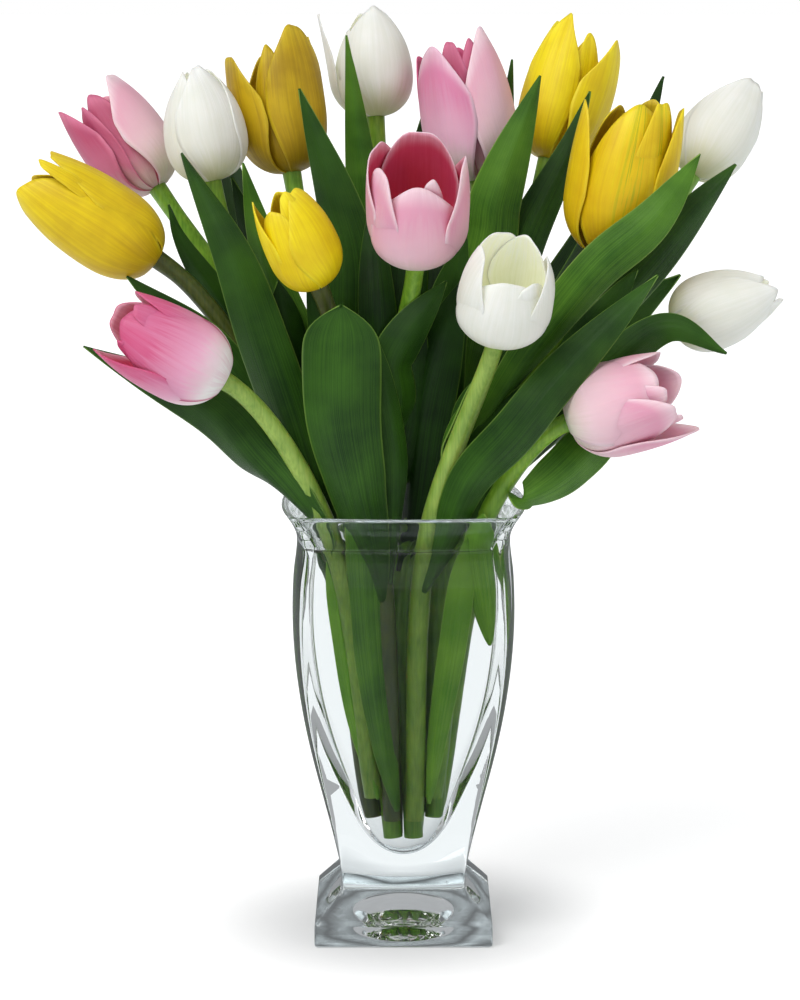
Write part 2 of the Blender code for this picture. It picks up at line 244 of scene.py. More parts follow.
def blow_shape(name, rows):
    """A closed body made from a ring that is extruded from row to row and filled at both ends."""
    first = square_ring(*rows[0])
    bpy.ops.mesh.primitive_circle_add(vertices=len(first), radius=MM, fill_type="NOTHING")
    made = bpy.context.object
    made.name = name
    bpy.ops.object.mode_set(mode="EDIT")
    bpy.ops.mesh.select_all(action="SELECT")
    bpy.ops.mesh.select_mode(type="VERT")
    mesh = bmesh.from_edit_mesh(made.data)
    mesh.verts.ensure_lookup_table()
    for vert, place in zip(mesh.verts, first):
        vert.co = place
    for row in rows[1:]:
        bpy.ops.mesh.extrude_edges_move()
        mesh = bmesh.from_edit_mesh(made.data)
        mesh.verts.ensure_lookup_table()
        for vert, place in zip(mesh.verts[-len(first):], square_ring(*row)):
            vert.co = place
    bpy.ops.mesh.edge_face_add()
    bpy.ops.mesh.select_all(action="DESELECT")
    mesh = bmesh.from_edit_mesh(made.data)
    mesh.verts.ensure_lookup_table()
    for vert in mesh.verts[:len(first)]:
        vert.select = True
    mesh.select_flush(True)
    bpy.ops.mesh.edge_face_add()
    bpy.ops.mesh.select_all(action="SELECT")
    bpy.ops.mesh.normals_make_consistent(inside=False)
    bpy.ops.object.mode_set(mode="OBJECT")
    bpy.ops.object.shade_smooth_by_angle(angle=math.radians(50))
    return made


vase = blow_shape("vase_glass", DIMPLE + FOOT + through(BODY, 4) + RIM + through(CAVITY, 4))
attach(vase, "root")
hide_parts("vase")


def clear_skin(name, colour, bending, scale, strength):
    """A clear surface with the faint unevenness of pressed glass or of still water."""
    made, tree, link, shader = new_skin(name)
    shader.inputs["Base Color"].default_value = (*colour, 1)
    shader.inputs["Roughness"].default_value = 0.0
    shader.inputs["IOR"].default_value = bending
    shader.inputs["Transmission Weight"].default_value = 1.0
    place = node(tree, "TexCoord")
    ripple = node(tree, "TexNoise", {"Scale": scale, "Detail": 2})
    bump = node(tree, "Bump", {"Strength": strength, "Distance": 0.002})
    link(place.outputs["Object"], ripple.inputs["Vector"])
    link(ripple.outputs[0], bump.inputs["Height"])
    link(bump.outputs[0], shader.inputs["Normal"])
    return made


# below the water the glass borders on water, so light bends less there than at its dry faces
WATER_LEVEL = 198.0
GLASS_IOR, WATER_IOR = 1.47, 1.33
vase.data.materials.append(clear_skin("clear_pressed_glass", (0.955, 0.975, 0.98), GLASS_IOR, 45, 0.04))
vase.data.materials.append(clear_skin("wetted_glass", (1, 1, 1), GLASS_IOR / WATER_IOR, 45, 0.02))
CAVITY_FLOOR = 41
for face in vase.data.polygons:
    middle, facing = face.center / MM, face.normal
    inner_wall = middle.z > CAVITY_FLOOR and middle.xy.dot(facing.xy) < 0
    cavity = inner_wall or middle.xy.length < 12 and middle.z > CAVITY_FLOOR / 2
    face.material_index = int(cavity and middle.z < WATER_LEVEL)

# ---------------------------------------------------------------------------------------------
# Water. It fills the cavity to 17 mm below the rim, wets the glass all round and climbs it a
# little at the edge. It is clear and still.
# ---------------------------------------------------------------------------------------------
cavity_rows = through(CAVITY, 4)
LAP = 0.05  # the water reaches this far into the glass, so that no gap shows between them
wet = [row for row in cavity_rows if row[0] < WATER_LEVEL - 1.2]
half, corner = cavity_rows[len(cavity_rows) - len(wet) - 1][1:]
surface = [(WATER_LEVEL - 0.9, 1.0, 0.8), (WATER_LEVEL - 0.9, half * 0.6, corner * 0.6),
           (WATER_LEVEL - 0.9, half - 4, corner - 4), (WATER_LEVEL - 0.7, half - 2, corner - 2),
           (WATER_LEVEL - 0.2, half - 0.6, corner - 0.6), (WATER_LEVEL, half + LAP, corner + LAP)]
water = blow_shape("vase_water", surface + [(z, half + LAP, corner + LAP) for z, half, corner in wet])
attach(water, "root")
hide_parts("water")

# its sides only pass the light on, since the wetted glass round them already bends it
sides, _, _, shader = new_skin("water_at_the_glass")
shader.inputs["Alpha"].default_value = 0.0
water.data.materials.append(clear_skin("clear_water", (1, 1, 1), WATER_IOR, 60, 0.02))
water.data.materials.append(sides)
for face in water.data.polygons:
    face.material_index = int(face.center.z < (WATER_LEVEL - 1.3) * MM)

# ---------------------------------------------------------------------------------------------
# Stems. Each is a round, fleshy, slightly tapering stalk, cut square at the foot of the vase,
# straight up to the neck and then bending out under the weight of its bloom.
# Rows give foot, neck at 200 mm, bloom base, bloom tip, widest radius of the bloom and its mouth.
# ---------------------------------------------------------------------------------------------
FLOWERS = {
    "pink_2": ((-14, -14, 73), (-34, -34), (-84, -62, 282), (-134, -80, 313), 21, 0.70),
    "yellow_3": ((-5, -15, 61), (-12, -35), (-40, -42, 324), (-59, -56, 370), 17, 0.50),
    "white_3": ((5, -15, 61), (11, -35), (44, -64, 305), (50, -94, 346), 23, 0.90),
    "pink_5": ((14, -14, 73), (34, -34), (78, -46, 260), (130, -60, 280), 22, 0.70),
    "yellow_1": ((-15, -5, 61), (-38, -11), (-118, -12, 334), (-180, -22, 374), 21, 0.50),
    "pink_3": ((-5, -5, 50), (-18, -12), (6, -42, 339), (7, -78, 388), 24, 0.85),
    "yellow_5": ((5, -5, 50), (3, -12), (98, -8, 335), (113, -16, 412), 24, 0.65),
    "white_5": ((15, -5, 61), (25, -11), (130, -6, 301), (181, -10, 321), 19, 0.40),
    "white_1": ((-15, 5, 61), (-30, 12), (-93, 8, 370), (-103, 12, 426), 20, 0.40),
    "yellow_2": ((-5, 5, 50), (-7, 11), (-55, 30, 373), (-64, 40, 443), 21, 0.80),
    "pink_4": ((5, 5, 50), (16, 11), (37, 36, 369), (25, 44, 441), 23, 0.65),
    "white_4": ((15, 5, 61), (39, 12), (143, 42, 371), (173, 56, 417), 19, 0.40),
    "pink_1": ((-10, 15, 66), (-21, 34), (-122, 40, 365), (-155, 52, 414), 21, 0.75),
    "white_2": ((0, 15, 61), (3, 35), (-14, 62, 399), (-17, 70, 454), 20, 0.40),
    "yellow_4": ((10, 15, 66), (26, 33), (72, 60, 378), (88, 74, 447), 21, 0.70),
}
NECK_HEIGHT = 200.0
STEM_RADIUS, STEM_SWELL, STEM_TAPER = 4.7, 0.5, 0.5


def unit(vector):
    return vector / np.linalg.norm(vector)


def bow(start, end, leave, arrive, t):
    """The point at t, 0 to 1, of a curve that leaves and arrives along the given vectors."""
    return ((2 * t**3 - 3 * t**2 + 1) * start + (t**3 - 2 * t**2 + t) * leave
            + (3 * t**2 - 2 * t**3) * end + (t**3 - t**2) * arrive)


def stem_line(name):
    """Middle points of a stem, from its foot through the neck of the vase into its bloom."""
    foot, neck, base, tip = (np.array(p, float) for p in FLOWERS[name][:4])
    neck = np.array((*neck, NECK_HEIGHT))
    axis = unit(tip - base)
    top = base + 1.5 * axis
    lower, upper = np.linalg.norm(neck - foot), np.linalg.norm(top - neck)
    lean = unit(unit(neck - foot) + 0.8 * unit(top - neck))
    points = [bow(foot, neck, neck - foot, lean * lower, t) for t in np.linspace(0, 1, 8)]
    points += [bow(neck, top, lean * upper, axis * 0.8 * upper, t) for t in np.linspace(0, 1, 10)[1:]]
    return np.array(points)


def stem_thickness(height, name):
    """Radius of a stem at a height: a little swollen half-way and thinner towards the bloom."""
    low, high = FLOWERS[name][0][2], FLOWERS[name][2][2]
    share = (height - low) / (high - low)
    return STEM_RADIUS + STEM_SWELL * math.sin(math.pi * share) - STEM_TAPER * share


def tint(r, g, b):
    """A surface colour given as 0 to 255, for a shader."""
    return tuple((c / 255) ** 2.2 for c in (r, g, b)) + (1,)


def stem_skin(name, low, high):
    """Green stalk with fine lengthwise streaks and blotches, a fuller green in the water."""
    made, tree, link, shader = new_skin(name)
    place = node(tree, "TexCoord")
    stretch = node(tree, "Mapping", {"Scale": (900, 900, 26)})
    streak = node(tree, "TexNoise", {"Scale": 1, "Detail": 3})
    blotch = node(tree, "TexNoise", {"Scale": 70})
    both = node(tree, "Mix", {"Factor": 0.5}, data_type="FLOAT")
    greens = ramp(tree, (0.28, tint(*low)), (0.72, tint(*high)))
    link(place.outputs["Object"], stretch.inputs["Vector"])
    link(stretch.outputs[0], streak.inputs["Vector"])
    link(place.outputs["Object"], blotch.inputs["Vector"])
    link(streak.outputs[0], both.inputs["A"])
    link(blotch.outputs[0], both.inputs["B"])
    link(both.outputs["Result"], greens.inputs[0])
    apart = node(tree, "SeparateXYZ")
    depth = node(tree, "MapRange", {"From Min": 0.235, "From Max": 0.175, "To Min": 0.0, "To Max": 0.78})
    deeper = node(tree, "Mix", {"B": tint(166, 190, 84)}, data_type="RGBA", blend_type="MULTIPLY")
    link(place.outputs["Object"], apart.inputs[0])
    link(apart.outputs["Z"], depth.inputs["Value"])
    link(depth.outputs[0], deeper.inputs["Factor"])
    link(greens.outputs[0], deeper.inputs["A"])
    link(deeper.outputs["Result"], shader.inputs["Base Color"])
    bump = node(tree, "Bump", {"Strength": 0.25, "Distance": 0.0005})
    link(streak.outputs[0], bump.inputs["Height"])
    link(bump.outputs[0], shader.inputs["Normal"])
    shader.inputs["Roughness"].default_value = 0.42
    shader.inputs["Subsurface Weight"].default_value = 0.2
    shader.inputs["Subsurface Scale"].default_value = 0.003
    return made


GREEN = stem_skin("tulip_stem", (72, 122, 18), (146, 188, 58))
PALE_GREEN = stem_skin("pale_tulip_stem", (92, 130, 40), (164, 190, 88))
OLIVE = stem_skin("olive_tulip_stem", (44, 62, 18), (92, 100, 36))
STALKS = {"white_3": PALE_GREEN, "pink_2": PALE_GREEN, "yellow_1": OLIVE, "yellow_3": OLIVE}
for name in FLOWERS:
    line = stem_line(name)
    bpy.ops.curve.primitive_bezier_curve_add(location=(0, 0, 0))
    stem = bpy.context.object
    stem.name = "tulip_stem_" + name
    spline = stem.data.splines[0]
    spline.bezier_points.add(len(line) - 2)
    for knot, point in zip(spline.bezier_points, line):
        knot.co = Vector(point) * MM
        knot.handle_left_type = knot.handle_right_type = "AUTO"
        knot.radius = stem_thickness(point[2], name)
    spline.bezier_points[-1].radius *= 1.12
    stem.data.bevel_depth = MM
    stem.data.bevel_resolution = 5
    stem.data.resolution_u = 6
    stem.data.use_fill_caps = True
    bpy.ops.object.convert(target="MESH")
    bpy.ops.object.shade_smooth_by_angle(angle=math.radians(50))
    stem.data.materials.clear()
    stem.data.materials.append(STALKS.get(name, GREEN))
    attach(stem, "root")
    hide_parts("stem_" + name)

# ---------------------------------------------------------------------------------------------
# Blooms. Each head is six or seven broad cupped petals, nested round each other and closing
# towards blunt tips. A petal has a soft crease down its middle, fine lengthwise veins, a paler
# foot, and a lining of its own colour, which is deep rose in the pink ones.
# ---------------------------------------------------------------------------------------------
def petal_skin(name, base, body, tip, edge, vein, vein_share, pale_to=0.2, streak_share=0.0,
               streak=(0, 0, 0)):
    """Petal colour from its foot to its tip and out to its edges, with fine veins along it."""
    made, tree, link, shader = new_skin(name)
    flat = node(tree, "UVMap", uv_map="UVMap")
    apart = node(tree, "SeparateXYZ")
    stretch = node(tree, "Mapping", {"Scale": (30, 1.6, 1)})
    veins = node(tree, "TexNoise", {"Scale": 1, "Detail": 5, "Roughness": 0.62})
    place = node(tree, "TexCoord")
    cloud = node(tree, "TexNoise", {"Scale": 48, "Detail": 3})
    link(flat.outputs[0], apart.inputs[0])
    link(flat.outputs[0], stretch.inputs["Vector"])
    link(stretch.outputs[0], veins.inputs["Vector"])
    link(place.outputs["Object"], cloud.inputs["Vector"])
    # height along the petal, shifted a little by the veins
    shift = node(tree, "Math", {1: 0.36}, operation="MULTIPLY_ADD")
    along = ramp(tree, (pale_to, tint(*base)), (0.5 * pale_to + 0.46, tint(*body)), (1.0, tint(*tip)))
    link(veins.outputs[0], shift.inputs[0])
    link(apart.outputs["Y"], shift.inputs[2])
    link(shift.outputs[0], along.inputs[0])
    # distance from the crease, 0 to 1
    centred = node(tree, "Math", {1: 2, 2: -1}, operation="MULTIPLY_ADD")
    outward = node(tree, "Math", operation="ABSOLUTE")
    link(apart.outputs["X"], centred.inputs[0])
    link(centred.outputs[0], outward.inputs[0])
    rim = node(tree, "Math", operation="MAXIMUM")
    near_edge = node(tree, "MapRange", {"From Min": 0.86, "From Max": 1.0},
                     interpolation_type="SMOOTHSTEP")
    edging = node(tree, "Mix", {"B": tint(*edge)}, data_type="RGBA")
    link(outward.outputs[0], rim.inputs[0])
    link(apart.outputs["Y"], rim.inputs[1])
    link(rim.outputs[0], near_edge.inputs["Value"])
    link(near_edge.outputs[0], edging.inputs["Factor"])
    link(along.outputs[0], edging.inputs["A"])
    # veins and cloudy patches
    both = node(tree, "Math", operation="MULTIPLY")
    amount = node(tree, "MapRange",
                  {"From Min": 0.14, "From Max": 0.36, "To Min": vein_share, "To Max": 0.0})
    veined = node(tree, "Mix", {"B": tint(*vein)}, data_type="RGBA")
    link(veins.outputs[0], both.inputs[0])
    link(cloud.outputs[0], both.inputs[1])
    link(both.outputs[0], amount.inputs["Value"])
    link(amount.outputs[0], veined.inputs["Factor"])
    link(edging.outputs["Result"], veined.inputs["A"])
    # a few broken streaks near the crease
    crease = node(tree, "MapRange",
                  {"From Min": 0.0, "From Max": 0.34, "To Min": streak_share, "To Max": 0.0})
    broken = node(tree, "MapRange", {"From Min": 0.50, "From Max": 0.58})
    where = node(tree, "Math", operation="MULTIPLY")
    streaked = node(tree, "Mix", {"B": tint(*streak)}, data_type="RGBA")
    link(outward.outputs[0], crease.inputs["Value"])
    link(veins.outputs[0], broken.inputs["Value"])
    link(crease.outputs[0], where.inputs[0])
    link(broken.outputs[0], where.inputs[1])
    link(where.outputs[0], streaked.inputs["Factor"])
    link(veined.outputs["Result"], streaked.inputs["A"])
    link(streaked.outputs["Result"], shader.inputs["Base Color"])
    bump = node(tree, "Bump", {"Strength": 0.3, "Distance": 0.0006})
    link(veins.outputs[0], bump.inputs["Height"])
    link(bump.outputs[0], shader.inputs["Normal"])
    shader.inputs["Roughness"].default_value = 0.5
    shader.inputs["Subsurface Weight"].default_value = 0.15
    shader.inputs["Subsurface Scale"].default_value = 0.003
    shader.inputs["Subsurface Radius"].default_value = (1.0, 0.7, 0.5)
    shader.inputs["Specular IOR Level"].default_value = 0.35
    return made


YELLOW = petal_skin("yellow_petal", (196, 166, 20), (230, 196, 6), (236, 204, 12), (246, 218, 44),
                    (184, 138, 4), 0.55)
STREAKED = petal_skin("streaked_yellow_petal", (214, 168, 12), (236, 198, 4), (240, 206, 10),
                      (248, 220, 40), (196, 142, 4), 0.5, 0.2, 0.75, (132, 152, 20))
# painted light and shade: the lemon skin is a lighter copy of the yellow for heads in the light, and the
# mustard skin a darker copy for heads in shade and for the yellow linings
LIT_LEMON = petal_skin("lit_lemon_petal", (212, 176, 16), (246, 216, 6), (248, 222, 14), (252, 230, 48),
                   (204, 158, 4), 0.5)
SHADED_MUSTARD = petal_skin("shaded_mustard_petal", (166, 140, 20), (190, 156, 12), (198, 164, 18), (218, 188, 40),
                     (136, 104, 6), 0.6)
ROSE = petal_skin("rose_petal", (246, 238, 234), (236, 170, 196), (210, 92, 134), (204, 76, 120),
                  (216, 132, 166), 0.45, 0.46)
BLUSH = petal_skin("blush_petal", (238, 230, 214), (236, 186, 206), (220, 130, 166), (242, 204, 218),
                   (212, 138, 170), 0.45, 0.34)
SHELL = petal_skin("shell_pink_petal", (228, 220, 198), (240, 198, 206), (228, 156, 180), (246, 212, 220),
                   (222, 160, 180), 0.42, 0.3)
# the pale shell skin serves pale heads, and is also a painted highlight on single petals of other pink
# heads
PALE_AND_HIGHLIGHT = petal_skin("pale_shell_and_highlight_petal", (232, 226, 204), (242, 208, 212), (234, 172, 190), (248, 218, 224),
                  (224, 164, 182), 0.4, 0.34)
DUSKY = petal_skin("dusky_rose_petal", (232, 204, 200), (206, 116, 144), (184, 78, 110), (216, 120, 150),
                   (176, 84, 116), 0.5, 0.36)
DEEP = petal_skin("deep_rose_lining", (230, 150, 160), (226, 88, 116), (218, 84, 118), (244, 180, 198),
                  (202, 54, 88), 0.5)
IVORY = petal_skin("ivory_petal", (202, 206, 146), (230, 228, 218), (236, 234, 227), (242, 241, 236),
                   (212, 213, 194), 0.4)
GLOWING_CREAM = petal_skin("cream_lining_painted_glow", (206, 210, 120), (232, 232, 200), (243, 243, 230), (247, 247, 240),
                   (212, 214, 170), 0.45, 0.26)

# painted light: the cream lining glows a little, in place of light that comes through the white petals
# from outside
GLOWING_CREAM.node_tree.nodes["Principled BSDF"].inputs["Emission Color"].default_value = (0.90, 0.92, 0.78, 1)
GLOWING_CREAM.node_tree.nodes["Principled BSDF"].inputs["Emission Strength"].default_value = 0.16

# Outer skin, lining, how blunt the tips are, then the petals from the inside out: the side each
# stands on (0 is the front, 90 the right), its reach, height, lean outwards, half-spread and
# closing, and its own outer skin where that differs
HEADS = {
    "yellow_1": (YELLOW, SHADED_MUSTARD, 3.0, [(38, 0.84, 1.0, 5, 20, 0.75), (180, 0.9, 0.95, 0, 62, 0.5),
        (-120, 0.92, 0.96, 0, 62, 0.5), (84, 0.98, 0.95, 3, 66, 0.64), (-150, 0.96, 0.94, 0, 60, 0.5),
        (-24, 1.0, 1.0, 0, 86, 0.52)]),
    "pink_1": (BLUSH, DEEP, 2.6, [(-8, 0.84, 0.92, 0, 46, 0.62, DUSKY),
        (-34, 0.9, 0.86, 2, 30, 0.72, DUSKY), (130, 0.9, 0.9, 2, 60, 0.6),
        # painted highlight: the petal at 70 takes the pale shell skin
        (180, 0.96, 0.95, 3, 60, 0.7), (70, 0.99, 1.0, 0, 68, 0.60, PALE_AND_HIGHLIGHT),
        (-78, 1.0, 0.97, 4, 66, 0.74, DUSKY)]),
    "white_1": (IVORY, GLOWING_CREAM, 3.6, [(160, 0.84, 0.93, 0, 60, 0.3), (-140, 0.9, 0.95, 0, 60, 0.3),
        (60, 0.9, 0.94, 0, 50, 0.3), (112, 1.05, 0.95, 1, 60, 0.34), (-58, 0.96, 0.95, 0, 66, 0.24),
        (34, 1.0, 0.98, 0, 72, 0.24)]),
    "yellow_2": (SHADED_MUSTARD, SHADED_MUSTARD, 2.2, [(-16, 0.84, 0.88, 3, 40, 0.6), (150, 0.9, 0.9, 1, 60, 0.5),
        (-150, 0.9, 0.85, 3, 56, 0.6), (100, 0.94, 0.92, 2, 52, 0.7), (38, 1.0, 1.0, 1, 62, 0.68),
        (-72, 1.0, 0.86, 8, 62, 0.78)]),
    "yellow_3": (LIT_LEMON, YELLOW, 3.0, [(20, 0.88, 1.0, 0, 46, 0.56), (180, 0.92, 0.92, 0, 60, 0.6),
        (120, 0.92, 0.9, 0, 60, 0.6), (-92, 0.98, 0.97, 2, 56, 0.70), (-36, 0.98, 0.88, 0, 60, 0.58),
        (56, 1.02, 0.97, 0, 74, 0.46)]),
    "white_2": (IVORY, GLOWING_CREAM, 3.2, [(180, 0.84, 0.93, 0, 60, 0.3), (-120, 0.9, 0.95, 0, 60, 0.3),
        (120, 0.92, 0.93, 0, 60, 0.3), (-90, 1.03, 0.97, 6, 34, 1.02), (-74, 0.97, 0.80, 0, 56, 0.6),
        (22, 1.0, 0.98, 0, 86, 0.30)]),
    "pink_3": (SHELL, DEEP, 2.5, [(30, 0.66, 0.88, 0, 36, 0.80, PALE_AND_HIGHLIGHT), (180, 0.94, 0.95, 3, 68, 0.84),
        (-112, 0.98, 0.95, 3, 60, 0.86), (-66, 0.96, 0.92, 1, 46, 0.76),
        (88, 0.98, 0.94, 2, 58, 0.80), (0, 1.0, 0.84, -2, 68, 0.58)]),
    "pink_4": (BLUSH, ROSE, 2.4, [(-14, 0.84, 0.94, 2, 36, 0.66, DUSKY),
        (24, 0.84, 0.93, 2, 36, 0.7, DUSKY), (180, 0.92, 0.92, 2, 62, 0.6),
        (-118, 0.96, 0.90, 3, 50, 0.8, ROSE), (-46, 1.0, 0.92, 2, 60, 0.70),
        # painted highlight: the petal at 62 takes the pale shell skin
        (62, 1.0, 1.0, 0, 64, 0.58, PALE_AND_HIGHLIGHT)]),
    "white_3": (IVORY, GLOWING_CREAM, 2.8, [(150, 0.92, 0.96, 0, 60, 0.66), (-150, 0.94, 0.98, 0, 58, 0.66),
        (44, 0.9, 0.80, 0, 44, 0.74), (-82, 0.97, 0.95, 0, 58, 0.64), (88, 0.98, 0.92, 1, 56, 0.68),
        (0, 1.0, 0.80, -2, 74, 0.60)]),
    "yellow_4": (LIT_LEMON, YELLOW, 1.7, [(30, 0.86, 0.92, 3, 44, 0.6), (150, 0.9, 0.9, 2, 60, 0.5),
        (-150, 0.9, 0.95, 0, 56, 0.5), (-90, 0.98, 0.98, 0, 52, 0.5), (-28, 0.96, 1.02, 1, 50, 0.5),
        (58, 1.02, 0.92, 9, 58, 0.66)]),
    "yellow_5": (STREAKED, SHADED_MUSTARD, 3.4, [(150, 0.88, 0.97, 1, 60, 0.6), (-140, 0.9, 0.9, 1, 56, 0.6),
        (46, 0.9, 1.0, 1, 50, 0.62), (84, 0.98, 0.98, 3, 54, 0.70), (-86, 1.03, 0.92, 4, 46, 0.82),
        (4, 0.99, 0.96, -1, 66, 0.50)]),
    "white_4": (IVORY, GLOWING_CREAM, 3.0, [(160, 0.86, 0.93, 0, 60, 0.35), (-130, 0.9, 0.93, 0, 60, 0.35),
        (70, 0.9, 0.97, 1, 40, 0.4), (100, 0.98, 0.94, 1, 60, 0.4), (-80, 0.98, 0.90, 0, 60, 0.35),
        (6, 1.0, 1.0, 0, 74, 0.34)]),
    "pink_2": (ROSE, DEEP, 3.2, [(-34, 0.80, 0.92, 2, 34, 0.66), (46, 0.84, 0.94, 2, 44, 0.70),
        (180, 0.95, 0.95, 2, 60, 0.7), (100, 0.98, 0.93, 1, 60, 0.70), (-84, 0.98, 1.0, 3, 62, 0.70),
        (14, 1.02, 0.97, -1, 74, 0.50)]),
    "pink_5": (PALE_AND_HIGHLIGHT, SHELL, 3.0, [(60, 0.72, 0.96, 5, 48, 0.8, SHELL),
        (0, 0.74, 0.92, 3, 46, 0.74, SHELL), (180, 0.94, 0.95, 3, 60, 0.7),
        (-110, 0.96, 0.90, 2, 56, 0.74), (96, 1.0, 1.0, 6, 52, 0.84, SHELL),
        (30, 0.92, 0.94, 2, 50, 0.74, SHELL), (-30, 1.0, 0.86, -1, 78, 0.56)]),
    "white_5": (IVORY, GLOWING_CREAM, 3.0, [(160, 0.86, 0.93, 0, 60, 0.3), (-150, 0.9, 0.93, 0, 60, 0.3),
        (60, 0.9, 0.99, 1, 44, 0.34), (96, 0.98, 0.93, 0, 60, 0.36), (-74, 1.0, 0.90, 0, 62, 0.34),
        (10, 1.0, 0.97, 0, 76, 0.32)]),
}


PETAL_WALL = 0.6
WIDEST = 0.36  # share of its height at which a petal stands farthest out


def add_petal(skins, radius, length, side, reach, tall, lean, spread, close, blunt, dice):
    """One petal: a grid rolled round the head, cut to a rounded outline, smoothed and thickened."""
    bpy.ops.mesh.primitive_grid_add(x_subdivisions=12, y_subdivisions=16, size=2)
    petal = bpy.context.object
    tilt, about = math.radians(lean), math.radians(side)
    lift, wave, phase = dice.uniform(-1, 1), dice.uniform(3, 5), dice.uniform(0, 6)
    for vert in petal.data.vertices:
        u, step = vert.co.x, (vert.co.y + 1) / 2
        v = step ** 1.35 * (1 - 0.40 * abs(u) ** blunt)
        # the cup: out from the stem to its widest, then closing
        if v < WIDEST:
            r = 0.15 + 0.85 * math.sqrt(1 - (1 - v / WIDEST) ** 2)
        else:
            r = 1 - (1 - close) * ((v - WIDEST) / (1 - WIDEST)) ** 2.3
        angle = u * math.radians(spread) * (0.62 + 0.38 * min(v / 0.4, 1)) * (1 - 0.12 * v * v)
        # edges that curl in or out, a crease down the middle and a wavy tip
        near_tip = step ** 5
        r *= 1 - 0.045 * u * u * math.sin(math.pi * min(v * 1.25, 1)) + 0.02 * lift * u
        r -= 0.035 * math.exp(-((u / 0.13) ** 2)) * math.sin(math.pi * v)
        r += near_tip * 0.035 * math.sin(wave * u + phase)
        r *= radius * reach
        z = length * tall * v * (1 + 0.012 * near_tip * math.sin(2 * wave * u + phase))
        x, y = r * math.cos(angle), r * math.sin(angle)
        x, z = x * math.cos(tilt) + z * math.sin(tilt), z * math.cos(tilt) - 0.3 * x * math.sin(tilt)
        vert.co = Vector((x * math.cos(about) - y * math.sin(about),
                          x * math.sin(about) + y * math.cos(about), z)) * MM
    smooth = petal.modifiers.new("smooth", "SUBSURF")
    smooth.levels = smooth.render_levels = 1
    wall = petal.modifiers.new("wall", "SOLIDIFY")
    wall.thickness = PETAL_WALL * MM
    wall.offset = -1
    wall.material_offset = 1
    bpy.ops.object.modifier_apply(modifier="smooth")
    for skin in skins:
        petal.data.materials.append(skin)
    bpy.ops.object.modifier_apply(modifier="wall")
    bpy.ops.object.shade_smooth()
    return petal


def stand(made, name):
    """Turns a head modelled upright at the origin to its place on its stem, its side 0 in front."""
    base, tip = (Vector(p) for p in FLOWERS[name][2:4])
    up = (tip - base).normalized()
    front = (Vector((0, -1, 0)) + up * up.y).normalized()
    side = up.cross(front)
    made.matrix_world = Matrix.Translation(base * MM) @ Matrix((front, side, up)).transposed().to_4x4()
    bpy.ops.object.transform_apply(location=True, rotation=True, scale=True)


for name, (skin, lining, blunt, rows) in HEADS.items():
    base, tip, radius = FLOWERS[name][2], FLOWERS[name][3], FLOWERS[name][4]
    dice = random.Random(name)
    petals = []
    for k, row in enumerate(rows):
        nested = radius * (1.04 - 0.02 * (len(rows) - 1 - k))
        outside = row[6] if len(row) > 6 else skin
        petals.append(add_petal((outside, lining), nested, math.dist(base, tip), *row[:6], blunt, dice))
    bpy.ops.object.select_all(action="DESELECT")
    for petal in petals:
        petal.select_set(True)
    bpy.context.view_layer.objects.active = petals[0]
    bpy.ops.object.join()
    head = bpy.context.object
    head.name = "tulip_petals_" + name
    stand(head, name)
    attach(head, "root")
    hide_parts("bloom_" + name)

# ---------------------------------------------------------------------------------------------
# Pistils. Inside each of the three open heads stands a stout green pistil with a yellow stigma
# of three lobes. Each height is a share of the height of its head.
# ---------------------------------------------------------------------------------------------
def plain(name, colour, roughness):
    """One colour with a fine grain of a slightly darker tone."""
    made, tree, link, shader = new_skin(name)
    place = node(tree, "TexCoord")
    grain = node(tree, "TexNoise", {"Scale": 400})
    tones = ramp(tree, (0.3, tint(*[0.8 * c for c in colour])), (0.7, tint(*colour)))
    link(place.outputs["Object"], grain.inputs["Vector"])
    link(grain.outputs[0], tones.inputs[0])
    link(tones.outputs[0], shader.inputs["Base Color"])
    shader.inputs["Roughness"].default_value = roughness
    return made


PISTIL_RADIUS, LOBE_RADIUS, LOBE_REACH = 3.2, 2.6, 2.4
pistil_green = plain("pistil_green", (176, 190, 90), 0.5)
stigma_yellow = plain("stigma_yellow", (232, 214, 70), 0.8)
for name, height in {"white_3": 0.64, "pink_3": 0.44, "pink_5": 0.44}.items():
    length = math.dist(FLOWERS[name][2], FLOWERS[name][3])
    bpy.ops.mesh.primitive_cylinder_add(vertices=24, radius=PISTIL_RADIUS * MM,
                                        depth=length * (height - 0.04) * MM,
                                        location=(0, 0, length * (height + 0.02) / 2 * MM))
    pistil = bpy.context.object
    for k in range(3):
        turn = math.radians(120 * k + 20)
        lobe_place = Vector((LOBE_REACH * math.cos(turn), LOBE_REACH * math.sin(turn),
                             length * height)) * MM
        bpy.ops.mesh.primitive_uv_sphere_add(segments=20, ring_count=12, radius=LOBE_RADIUS * MM,
                                             location=lobe_place)
        bpy.context.object.data.materials.append(stigma_yellow)
    pistil.data.materials.append(pistil_green)
    for lobe in bpy.context.scene.objects:
        lobe.select_set(lobe is pistil or lobe.name.startswith("Sphere"))
    bpy.context.view_layer.objects.active = pistil
    bpy.ops.object.join()
    pistil.name = "tulip_pistil_" + name
    bpy.ops.object.shade_smooth_by_angle(angle=math.radians(50))
    stand(pistil, name)
    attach(pistil, "root")

